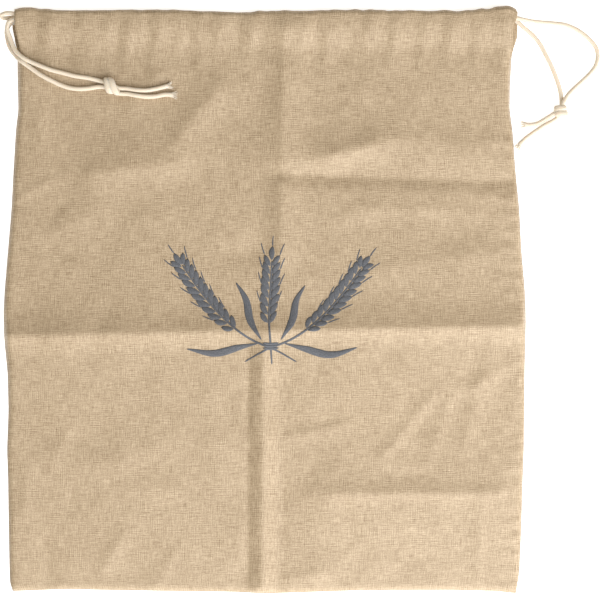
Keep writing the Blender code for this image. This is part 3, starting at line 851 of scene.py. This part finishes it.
@dataclass
class Cloth:
    """One of the two cloths: its body, its folded heading and the hem inside."""

    shape: BagShape
    columns: int = 208
    rows: int = 196
    hem_rows: int = 8
    fold_turns: tuple[float, ...] = (66, 40, 14, -14, -40, -66)
    crowd_x: float = 0.012
    crowd_y: float = 0.008
    start_y: float = -202.0
    bottom_ease: float = 26.0
    heading_start: float = 182.0
    crease_y: float = -22.0
    crease_reach: float = 60.0
    crease_slope: float = 0.019
    inset_from: int = 2
    inset_over: float = 4.0
    hem_gap: float = 2.3
    hem_end: float = 170.5
    back_hem_drop: float = 1.3
    eye: Place = (24.3, -0.3, 981.5)
    seen_height: float = 4.0

    @staticmethod
    def crowded(share: Points, amount: float) -> Points:
        """Even places from 0 to 1, drawn a little towards both ends."""
        return share - amount * np.sin(2 * math.pi * share) / (2 * math.pi) * 4

    def turn_start(self, x: Points) -> Points:
        """Where the cloth starts to turn over at the top rim."""
        shape = self.shape
        return shape.top_rim.read(x) + shape.rim_ripples(x) - shape.cloth / 2 - shape.rim_reach

    def grid(self, back: bool) -> Points:
        """Places of all the cloth's points.

        Args:
            back: True for the back cloth.

        Returns:
            An array of rows by columns by x, y, z and v, in millimetres.
        """
        shape = self.shape
        share = self.crowded(np.linspace(0.0, 1.0, self.columns), self.crowd_x)
        rows = []
        up = self.crowded(np.linspace(0.0, 1.0, self.rows), self.crowd_y)
        for y_row in self.start_y + (shape.fold_y - self.start_y) * up:
            left, right = shape.edges(np.array(y_row), back)
            x = left + (right - left) * share
            ease = smooth(1.0 - (y_row - self.start_y) / self.bottom_ease)
            y = y_row + (shape.bottom_rim.read(x) - self.start_y) * ease
            ease = smooth((y_row - self.heading_start) / (shape.fold_y - self.heading_start))
            y = y + (self.turn_start(x) - shape.fold_y) * ease
            near = smooth(1.0 - abs(y_row - self.crease_y) / self.crease_reach)
            y = y + (self.crease_slope * x) * near
            z = np.full_like(x, shape.back_height) if back else shape.front(x, y)
            rows.append((x, y, z))
        turn_height = shape.back_run if back else shape.front_run
        radius = -shape.fold_radius if back else shape.fold_radius
        left, right = shape.edges(np.array(shape.fold_y + 2), back)
        for step, turn in enumerate(self.fold_turns):
            inset = shape.hem_inset * smooth((step - self.inset_from) / self.inset_over)
            x = left + inset + (right - left - 2 * inset) * share
            angle = math.radians(turn)
            y = self.turn_start(x) + shape.rim_reach * math.cos(angle)
            rows.append((x, y, np.full_like(x, turn_height + radius * math.sin(angle))))
        for y_row in np.linspace(shape.fold_y - self.hem_gap, self.hem_end, self.hem_rows):
            left, right = shape.edges(np.array(y_row), back)
            x = left + shape.hem_inset + (right - left - 2 * shape.hem_inset) * share
            level = shape.hem_level.read(np.array(y_row)) - (self.back_hem_drop if back else 0.0)
            rows.append((x, np.full_like(x, y_row), np.full_like(x, float(level))))
        points = np.array(rows).transpose(0, 2, 1)
        # Higher points are nearer the camera, so they are drawn in to show on the same outline.
        eye = np.array(self.eye)
        nearer = (points[:, :, 2:] - self.seen_height) / (eye[2] - self.seen_height)
        points[:, :, :2] = eye[:2] + (points[:, :, :2] - eye[:2]) * (1.0 - nearer)
        cut = distances(points[:, self.columns // 2])
        cut = np.broadcast_to(cut[:, None, None], (*points.shape[:2], 1))
        return np.concatenate((points, cut), axis=2)

    def build(
        self, name: str, back: bool, material: bpy.types.Material, slot: Slot, node: str
    ) -> bpy.types.Object:
        """Build one cloth as a grid that is laid over its shape.

        Args:
            name: The piece's name.
            back: True for the back cloth.
            material: Its finish.
            slot: The record's slot of that finish. Not used.
            node: The CAD node that it stands for.

        Returns:
            The cloth.
        """
        places = self.grid(back)
        count_v, count_u = places.shape[:2]
        bm = new_bmesh()
        bmesh.ops.create_grid(bm, x_segments=count_u - 1, y_segments=count_v - 1, size=0.5, calc_uvs=False)
        uv = bm.loops.layers.uv[UV_LAYER]
        spots = {}
        for vert in bm.verts:
            column = round((vert.co.x + 0.5) * (count_u - 1))
            row = round((vert.co.y + 0.5) * (count_v - 1))
            x, y, z, cut = places[row, column]
            spots[vert] = ((column / (count_u - 1) - 0.5) * self.shape.cut_width * MM, cut * MM)
            vert.co = Vector((x, y, z)) * MM
        for face in bm.faces:
            for loop in face.loops:
                loop[uv].uv = spots[loop.vert]
        if back:
            bmesh.ops.reverse_faces(bm, faces=bm.faces[:])
        cloth = add_piece(name, bm, material)
        thickness = cloth.modifiers.new("Cloth", "SOLIDIFY")
        thickness.thickness = self.shape.cloth * MM
        thickness.offset = 0.0
        thickness.use_even_offset = True
        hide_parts(node)
        return cloth


# Drawstrings.


@dataclass(frozen=True)
class KnotShape:
    """An overhand knot, whose flattened cord is wound round the two strands."""

    x: float
    y: float
    z: float
    turn: float
    half_reach: float
    half_height: float
    pitch: float
    shear: float
    swell: float
    half_band: float = 2.4
    half_thick: float = 1.4
    rounds: float = 2.2
    round_points: int = 36
    end_taper: float = 0.38
    ends_per_length: float = 12.0

    def body(self) -> Sweep:
        """The wound cord.

        Returns:
            The swept body, not yet in a mesh.
        """
        t = np.linspace(0.0, 1.0, int(self.round_points * self.rounds))
        angle = 2 * math.pi * self.rounds * (t - 0.5) - 0.5 * math.pi
        belly = 1.0 - self.end_taper * np.abs(2 * t - 1.0) ** 3 + self.swell * (t - 0.5)
        beside = self.half_reach * belly * np.cos(angle)
        above = self.half_height * belly * np.sin(angle)
        ahead = self.pitch * self.rounds * (t - 0.5) + self.shear * beside * (0.4 + 1.2 * t)
        axis = (math.cos(math.radians(self.turn)), math.sin(math.radians(self.turn)), 0.0)
        x = self.x + ahead * axis[0] - beside * axis[1]
        y = self.y + ahead * axis[1] + beside * axis[0]
        path = np.stack((x, y, self.z + above), axis=1)
        from_end = np.clip(self.ends_per_length * np.minimum(t, 1.0 - t), 0.0, 1.0)
        ends = np.sqrt(1.0 - (1.0 - from_end) ** 2)
        return Sweep(path, self.half_thick * ends, self.half_band * belly * ends, lean=axis)


LEFT_KNOT = KnotShape(
    x=-105.7, y=146.6, z=9.8, turn=-14, half_reach=4.35, half_height=2.4, pitch=3.8, shear=-0.45,
    swell=0.12,
)
RIGHT_KNOT = KnotShape(
    x=204.4, y=129.9, z=4.0, turn=-84, half_reach=3.5, half_height=2.35, pitch=3.3, shear=0.3,
    swell=0.05,
)


@dataclass
class Drawstrings:
    """The two cotton cords, each with two free strands through one knot."""

    shape: BagShape
    cord: bpy.types.Material
    frayed: bpy.types.Material
    diameter: float = 3.0
    fringe: int = 30
    over_cloth: float = 2.05
    over_table: float = 1.6
    step: float = 1.6
    run_step: float = 3.0
    flare_wide: float = 0.22
    flare_high: float = 0.06
    flare_reach: float = 4.0
    fibre_length: tuple[float, float] = (2.4, 4.6)
    fibre_radius: tuple[float, float] = (0.16, 0.3)
    fibre_lean: tuple[float, float] = (0.1, 0.5)
    fibre_root: float = 1.6
    fibre_step: float = 1.1
    fibre_taper: float = 0.45

    def laid(self, *places: tuple[float, ...]) -> Route:
        """Places of a cord that lies on the front cloth, each x, y and any lift."""
        return [(x, y, float(self.shape.front(x, y)) + self.over_cloth + sum(lift)) for x, y, *lift in places]

    def flat(self, *places: Spot) -> Route:
        """Places of a cord that lies on the table."""
        return [(x, y, self.over_table) for x, y in places]

    def left_upper(self) -> Route:
        """From the front tunnel's left mouth through the left knot to the upper end."""
        high = self.shape.front_run
        return [
            (-168.0, 192.2, high), (-171.5, 192.3, high), (-175.6, 190.6, 8.5), (-176.9, 186.2, 8.0),
            (-175.2, 180.6, 7.5), (-173.4, 175.6, 7.6), (-171.2, 171.2, 8.4), (-167.6, 167.4, 9.6),
            (-163.6, 164.6, 10.2), (-159.9, 162.8, 9.6),
            *self.laid(
                (-156.2, 161.3, 0.5), (-147.5, 157.9), (-138.7, 155.7), (-129.9, 153.5), (-121.1, 152.2),
                (-113.0, 150.2, 0.5),
            ),
            (-105.9, 147.8, 9.8),
            *self.laid(
                (-100.7, 145.5, 0.5), (-94.2, 145.0), (-87.6, 143.9), (-81.0, 143.8), (-74.3, 144.9),
                (-65.7, 147.1),
            ),
        ]

    def left_lower(self) -> Route:
        """From the back tunnel's left mouth through the left knot to the lower end."""
        low = self.shape.back_run
        return [
            (-168.0, 191.7, low), (-171.5, 191.7, low), (-176.4, 189.9, 2.9), (-178.3, 186.0, 2.6),
            (-178.0, 181.0, 2.6), (-176.8, 176.0, 3.2), (-174.3, 171.2, 4.4), (-170.8, 167.0, 5.8),
            *self.laid(
                (-166.4, 163.2, 0.4), (-163.4, 161.0, 0.2), (-159.8, 158.4), (-154.0, 154.4),
                (-147.5, 150.9), (-140.9, 147.8), (-134.3, 145.6), (-127.7, 144.8), (-121.0, 145.2),
                (-113.5, 146.2, 0.5),
            ),
            (-106.3, 144.9, 9.8),
            *self.laid(
                (-101.2, 142.0, 0.5), (-94.2, 141.4), (-87.6, 140.1), (-81.0, 139.4), (-74.3, 139.8),
                (-68.0, 141.0), (-62.5, 140.7),
            ),
        ]

    def right_outer(self) -> Route:
        """From the front tunnel's right mouth round the big loop to the upper end."""
        return [
            (166.5, 194.6, self.shape.front_run), (170.0, 194.1, 8.6), (174.5, 193.1, 8.0),
            (180.1, 192.1, 6.6), (188.7, 191.3, 4.2), (198.6, 190.9, 2.2),
            *self.flat(
                (208.6, 189.6), (218.4, 184.9), (225.0, 179.3), (229.4, 173.5), (230.3, 167.0),
                (228.6, 161.1), (225.0, 156.3), (219.1, 150.6),
            ),
            (213.2, 145.2, 1.9), (208.9, 140.6, 3.2), (206.2, 136.4, 4.6), (203.6, 131.2, 4.3),
            (199.9, 128.4, 2.4),
            *self.flat((194.0, 124.8), (188.8, 121.8), (184.1, 120.8), (178.9, 121.0)),
        ]

    def right_inner(self) -> Route:
        """From the back tunnel's right mouth down to the knot and to the lower end."""
        low = self.shape.back_run
        return [
            (166.5, 194.8, low), (170.0, 194.4, low), (174.6, 191.6, low), (178.8, 188.0, 2.4),
            (184.7, 183.2, 1.9),
            *self.flat(
                (190.1, 177.0), (194.0, 169.7), (198.0, 161.8), (201.3, 153.8), (203.9, 145.9),
                (205.1, 139.5),
            ),
            (205.3, 134.6, 2.0), (204.6, 129.5, 3.2), (202.1, 125.7, 2.4),
            *self.flat((193.4, 120.4), (185.1, 114.9), (178.4, 109.6), (175.4, 106.1)),
        ]

    def tunnel_left(self) -> Route:
        """The left drawstring's run inside both tunnels, round the right mouth."""
        high, low = self.shape.front_run, self.shape.back_run
        return [
            (-171.0, 192.3, high), (-160, 191.9, high), (-150, 191.7, high), (150, 191.7, high),
            (160, 191.7, high), (162.2, 191.7, high), (164.3, 191.7, 7.85), (165.1, 191.7, 5.75),
            (164.3, 191.7, 3.65), (162.2, 191.7, low), (160, 191.7, low), (150, 191.7, low),
            (-150, 191.7, low), (-160, 191.7, low), (-171.0, 191.7, low),
        ]

    def tunnel_right(self) -> Route:
        """The right drawstring's run inside both tunnels, with its turn at the left mouth."""
        high, low = self.shape.front_run, self.shape.back_run
        return [
            (169.5, 194.7, 8.6), (160, 195.2, high), (150, 195.3, high), (-140, 195.3, high),
            (-150, 195.3, high), (-164, 195.8, high), (-172, 196.4, high), (-177.5, 196.9, 8.2),
            (-181.0, 196.0, 6.7), (-181.8, 194.9, 5.1), (-180.2, 194.0, 3.7), (-176.5, 194.5, 2.9),
            (-171.0, 195.3, low), (-160, 195.3, low), (-150, 195.3, low), (150, 195.3, low),
            (160, 195.2, low), (169.5, 194.5, low),
        ]

    def strand(
        self, name: str, route: Route, nodes: tuple[str, ...], seed: int,
    ) -> bpy.types.Object:
        """Build one free strand from its mouth on, and the frayed fibres at its end.

        Args:
            name: The strand's name.
            route: The points that it passes, from just inside its mouth to its free end.
            nodes: The CAD nodes that it stands for.
            seed: Seed for the frayed fibres.

        Returns:
            The strand.
        """
        path = smooth_path(route, self.step)
        bm = new_bmesh()
        body = Sweep.tube(path, self.diameter / 2)
        from_end = np.linalg.norm(body.path - path[-1], axis=1)
        flare = np.clip(1.0 - from_end / self.flare_reach, 0.0, 1.0)
        body.half_width *= 1.0 + self.flare_wide * flare
        body.half_height *= 1.0 + self.flare_high * flare
        body.into(bm)
        piece = add_piece(name, bm, self.cord)
        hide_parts(*nodes)
        fringe = self.fray(f"{name}_fray", path, seed)
        return piece

    def fray(self, name: str, path: Points, seed: int) -> bpy.types.Object:
        """Fine cotton fibres that spread from a cut end.

        Args:
            name: The piece's name.
            path: The strand's middle.
            seed: Seed for the fibres.

        Returns:
            The fibres as one piece.
        """
        draw = np.random.default_rng(seed)
        end = path[-1]
        ahead = path[-1] - path[-4]
        ahead = ahead / np.linalg.norm(ahead)
        side = np.cross(ahead, (0.0, 0.0, 1.0))
        up = np.cross(side, ahead)
        reach = self.diameter / 2
        bm = new_bmesh()
        for _ in range(self.fringe):
            turn, out = draw.uniform(0, 2 * math.pi), reach * math.sqrt(draw.uniform(0.1, 1.0))
            root = end - ahead * self.fibre_root
            root = root + side * out * math.cos(turn) * 1.1 + up * out * math.sin(turn) * 0.9
            length = draw.uniform(*self.fibre_length)
            lean = side * math.cos(turn) * draw.uniform(*self.fibre_lean) + up * math.sin(turn) * 0.15
            tip = root + ahead * length + lean * length
            tip[2] = max(tip[2], 0.5 + end[2] - self.over_table)
            middle = (root + tip) / 2 + ahead * 0.4
            fibre = smooth_path([tuple(root), tuple(middle), tuple(tip)], self.fibre_step)
            radius = draw.uniform(*self.fibre_radius)
            Sweep.tube(fibre, radius, sides=5, taper=self.fibre_taper).into(bm)
        return add_piece(name, bm, self.frayed)

    def knot(self, name: str, shape: KnotShape, node: str) -> bpy.types.Object:
        """Build the wound turns of one knot.

        Args:
            name: The piece's name.
            shape: The knot's sizes.
            node: The CAD node that it stands for.

        Returns:
            The knot.
        """
        bm = new_bmesh()
        shape.body().into(bm)
        piece = add_piece(name, bm, self.cord)
        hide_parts(node)
        return piece

    def tunnel(self, name: str, route: Route, nodes: tuple[str, ...]) -> bpy.types.Object:
        """Build one cord's run inside the heading.

        Args:
            name: The piece's name.
            route: The points that it passes.
            nodes: The CAD nodes that it stands for.

        Returns:
            The run.
        """
        bm = new_bmesh()
        Sweep.tube(smooth_path(route, self.run_step), self.diameter / 2 - 0.05, sides=12).into(bm)
        piece = add_piece(name, bm, self.cord)
        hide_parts(*nodes)
        return piece

    def build(self) -> None:
        """Build the knots, the strands and the runs inside the heading."""
        left, right = "left_drawstring", "right_drawstring"
        left_turns = self.knot("left_knot_turns", LEFT_KNOT, "left_knot")
        right_turns = self.knot("right_knot_turns", RIGHT_KNOT, "right_knot")
        self.strand("left_strand_upper", self.left_upper(), (left, "left_tail_upper"), 3)
        self.strand("left_strand_lower", self.left_lower(), (left, "left_tail_lower"), 5)
        self.strand("right_strand_outer", self.right_outer(), (right, "right_tail_upper"), 7)
        self.strand("right_strand_inner", self.right_inner(), (right, "right_tail_lower"), 9)
        self.tunnel("left_run_inside", self.tunnel_left(), (left,))
        self.tunnel("right_run_inside", self.tunnel_right(), (right,))


# Embroidered wheat and heading stitches.


@dataclass
class WheatEmbroidery:
    """Three ears of wheat with leaves in padded satin stitch on the front cloth."""

    shape: BagShape
    thread: bpy.types.Material
    grain_length: float = 10.5
    grain_width: float = 4.3
    grain_pitch: float = 5.6
    padding: float = 0.55
    step: float = 1.4
    grain_turn: float = 0.52
    awn_turn: float = 0.34
    awn_length: float = 9.5
    top_awn_length: float = 8.0
    stem_widths: tuple[float, ...] = (0.5, 0.75, 0.75, 0.7, 0.6)
    grain_widths: tuple[float, ...] = (0.0, 0.62, 0.9, 1.0, 0.92, 0.66, 0.0)
    awn_widths: tuple[float, ...] = (0.5, 0.45, 0.4, 0.3)
    leaf_widths: tuple[float, ...] = (0.3, 1.3, 2.4, 2.7, 2.3, 1.4, 0.4)
    band_widths: tuple[float, ...] = (0.6, 0.85, 0.85, 0.85, 0.6)
    band_rises: tuple[float, ...] = (-1.7, 0.0, 1.7)
    stems: tuple[tuple[Spot, ...], ...] = (
        ((22, -43), (8, -35), (-10, -27), (-28, -13), (-43, 4), (-57, 24)),
        ((5, -45), (4, -30), (3, -12), (4, 8), (5, 27)),
        ((-14, -43), (0, -35), (19, -27), (37, -14), (53, 3), (67, 22)),
    )
    ear_starts: tuple[float, ...] = (0.46, 0.40, 0.46)
    leaves: tuple[tuple[Spot, ...], ...] = (
        ((-4, -30), (-18, -33), (-34, -37), (-54, -34)),
        ((-2, -28), (-10, -14), (-13, 0), (-20, 12)),
        ((13, -30), (28, -34), (45, -38), (64, -33)),
        ((11, -28), (19, -14), (22, 0), (28, 10)),
    )

    @staticmethod
    def ahead(spot: Spot, heading: float, distance: float) -> Spot:
        """The place at some distance from another one."""
        return spot[0] + distance * math.cos(heading), spot[1] + distance * math.sin(heading)

    def stroke(self, bm: bmesh.types.BMesh, points: list, width: Points, pad: float) -> None:
        """Add one padded stroke of satin stitch.

        Args:
            bm: The embroidery's mesh.
            points: The stroke's middle on the cloth.
            width: Half widths from its start to its end, eased between them.
            pad: How far it stands over the cloth.
        """
        flat = smooth_path([(x, y, 0.0) for x, y in points], self.step)
        share = np.linspace(0.0, 1.0, len(flat))
        half = np.interp(share, np.linspace(0.0, 1.0, len(width)), width)
        body = Sweep(flat, half, np.clip(half / 1.4, 0.45, 1.0) * pad, 12, (0.0, 0.0, 1.0))
        body.half_width[[0, -1]] = 0.0
        made = body.into(bm)
        places = np.array([vert.co for vert in made]) / MM
        tops = self.shape.front_top(places[:, 0], places[:, 1]) + places[:, 2] + 0.08
        for vert, top in zip(made, tops):
            vert.co.z = top * MM

    def grain(self, bm: bmesh.types.BMesh, spot: Spot, heading: float, size: float) -> None:
        """Add one grain that starts at a place on the stem."""
        along = np.array((math.cos(heading), math.sin(heading)))
        bow = np.array((-along[1], along[0])) * 0.5
        length = self.grain_length * size
        start = np.array(spot)
        points = [start, start + along * length * 0.5 + bow, start + along * length]
        profile = self.grain_width / 2 * size * np.array(self.grain_widths)
        self.stroke(bm, [tuple(point) for point in points], profile, self.padding)

    def awn(self, bm: bmesh.types.BMesh, spot: Spot, heading: float, length: float) -> None:
        """Add one thin awn beyond a grain."""
        middle = self.ahead(spot, heading + 0.05, length * 0.5)
        self.stroke(bm, [spot, middle, self.ahead(spot, heading, length)], np.array(self.awn_widths), 0.3)

    def ear(self, bm: bmesh.types.BMesh, stem: tuple, start: float) -> None:
        """Add one ear: its stem, its grains in pairs and its awns.

        Args:
            bm: The embroidery's mesh.
            stem: Points along the stem.
            start: Share of the stem below the first grains.
        """
        self.stroke(bm, list(stem), np.array(self.stem_widths), 0.4)
        line = smooth_path([(x, y, 0.0) for x, y in stem], 0.5)[:, :2]
        along = distances(line)
        places = np.arange(along[-1] * start, along[-1] - 1.0, self.grain_pitch)
        for number, place in enumerate(places):
            index = int(np.searchsorted(along, place))
            ahead = line[min(index + 4, len(line) - 1)] - line[index - 4]
            heading = math.atan2(ahead[1], ahead[0])
            size = 0.82 + 0.22 * math.sin(math.pi * (number + 0.6) / len(places))
            for side in (-1, 1):
                turn = heading + side * self.grain_turn
                x = line[index][0] + side * -math.sin(heading) * 0.9
                y = line[index][1] + side * math.cos(heading) * 0.9
                self.grain(bm, (x, y), turn, size)
                if number % 2 == 1:
                    tip = self.ahead((x, y), turn, self.grain_length * size * 0.96)
                    self.awn(bm, tip, heading + side * self.awn_turn, self.awn_length)
        top, ahead = tuple(line[-1]), line[-1] - line[-6]
        heading = math.atan2(ahead[1], ahead[0])
        self.grain(bm, top, heading, 0.95)
        self.awn(bm, self.ahead(top, heading, self.grain_length * 0.9), heading, self.top_awn_length)

    def build(self) -> bpy.types.Object:
        """Build the whole motif as one piece.

        Returns:
            The embroidery.
        """
        bm = new_bmesh()
        for stem, start in zip(self.stems, self.ear_starts):
            self.ear(bm, stem, start)
        for leaf in self.leaves:
            self.stroke(bm, list(leaf), np.array(self.leaf_widths), self.padding)
        for rise in self.band_rises:
            band = [(-1.5, -31.5 + rise), (4, -32.2 + rise), (10, -31.5 + rise)]
            self.stroke(bm, band, np.array(self.band_widths), 0.75)
        return add_piece("wheat_embroidery", bm, self.thread)


@dataclass
class HeadingStitches:
    """The row of stitches that closes the tunnel for the cords."""

    shape: BagShape
    thread: bpy.types.Material
    pitch: float = 3.4
    length: float = 2.5
    radius: float = 0.22
    reach: float = 166.0
    lifts: tuple[float, ...] = (-0.2, 0.06, 0.06, -0.2)

    def build(self) -> bpy.types.Object:
        """Build the row as one piece.

        Returns:
            The stitches.
        """
        bm = new_bmesh()
        for x in np.arange(-self.reach, self.reach, self.pitch):
            xs = x + np.linspace(0.0, self.length, len(self.lifts))
            ys = np.full_like(xs, self.shape.stitch_y)
            path = np.stack((xs, ys, self.shape.front_top(xs, ys) + np.array(self.lifts)), axis=1)
            Sweep.tube(path, self.radius, sides=6).into(bm)
        return add_piece("heading_stitches", bm, self.thread)


# Table, light and camera.


@dataclass(frozen=True)
class Studio:
    """A pale table, one large soft light, an even sky and the camera straight above."""

    lens: float = 85.0
    sensor: float = 36.0
    eye: Place = (0.0243, -0.0003, 0.9815)
    light_direction: Place = (0.42, -0.65, 0.64)
    light_distance: float = 1.27
    light_size: float = 2.0
    light_power: float = 43.0
    light_colour: Colour = (0.975, 1.0, 1.045)
    sky_colour: Colour = (1.07, 1.0, 0.86)
    sky: float = 0.40
    table_glow: float = 0.63
    table_colour: Colour = (0.93, 0.93, 0.93)
    table_size: float = 14.0
    table_drop: float = 0.0001

    def camera(self) -> None:
        """Add the camera that looks straight down."""
        data = bpy.data.cameras.new("above")
        data.lens = self.lens
        data.sensor_width = self.sensor
        camera = add_object("above", data)
        camera.location = self.eye
        bpy.context.scene.camera = camera

    def table(self) -> None:
        """Add the pale table top."""
        bm = bmesh.new()
        place = Matrix.Translation((0, 0, -self.table_drop))
        bmesh.ops.create_grid(bm, x_segments=4, y_segments=4, size=self.table_size, matrix=place)
        mesh = bpy.data.meshes.new("table_top")
        bm.to_mesh(mesh)
        bm.free()
        material = bpy.data.materials.new("pale_table")
        material.use_nodes = True
        shader = material.node_tree.nodes["Principled BSDF"]
        Nodes(material.node_tree).fill(shader, {
            "Base Color": (*self.table_colour, 1.0), "Roughness": 0.9, "Specular IOR Level": 0.1,
            "Emission Color": (1.0, 1.0, 1.0, 1.0), "Emission Strength": self.table_glow,
        })
        mesh.materials.append(material)
        add_object("table_top", mesh)

    def lights(self) -> None:
        """Add the soft light and the even sky, which shows white behind the table."""
        direction = Vector(self.light_direction).normalized()
        data = bpy.data.lights.new("soft_light", "AREA")
        data.shape = "DISK"
        data.size = self.light_size
        data.energy = self.light_power
        data.color = self.light_colour
        lamp = add_object("soft_light", data)
        lamp.location = direction * self.light_distance
        lamp.rotation_mode = "QUATERNION"
        lamp.rotation_quaternion = direction.to_track_quat("Z", "Y")
        world = bpy.data.worlds.new("even_sky")
        world.use_nodes = True
        nodes = Nodes(world.node_tree)
        light = tuple(self.sky * channel for channel in self.sky_colour)
        seen = nodes.add("ShaderNodeLightPath").outputs["Is Camera Ray"]
        shown = nodes.add(
            "ShaderNodeMix", {0: seen, 6: (*light, 1.0), 7: (1.0, 1.0, 1.0, 1.0)}, data_type="RGBA"
        )
        nodes.fill(world.node_tree.nodes["Background"], {"Color": shown.outputs[2], "Strength": 1.0})
        bpy.context.scene.world = world
        bpy.context.scene.view_settings.view_transform = "Standard"

    def build(self) -> None:
        """Add everything that isn't part of the bag."""
        self.camera()
        self.table()
        self.lights()


def main() -> None:
    """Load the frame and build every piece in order."""
    logging.basicConfig(level=logging.INFO, format="%(message)s")
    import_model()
    shape = BagShape()
    effects = Effects()
    Studio().build()

    cotton = COTTON_CORD.build(effects.strands, "Cord place")
    frayed = FRAYED_COTTON.build(effects.strands, "Cord place")
    Drawstrings(shape, cotton, frayed).build()

    cloth = Cloth(shape)
    back = Cloth(shape, columns=120, rows=110).build(
        "back_cloth", True, BACK_LINEN.build(effects.threads, "Cloth place"), Slot.BACK, "back_panel"
    )
    front = cloth.build(
        "front_cloth", False, FRONT_LINEN.build(effects.threads, "Cloth place"), Slot.FRONT, "front_panel"
    )
    wheat = WheatEmbroidery(shape, SLATE_THREAD.build(effects.strands, "Cord place")).build()
    stitches = HeadingStitches(shape, LINEN_THREAD.build(effects.strands, "Cord place")).build()


if __name__ == "__main__":
    main()
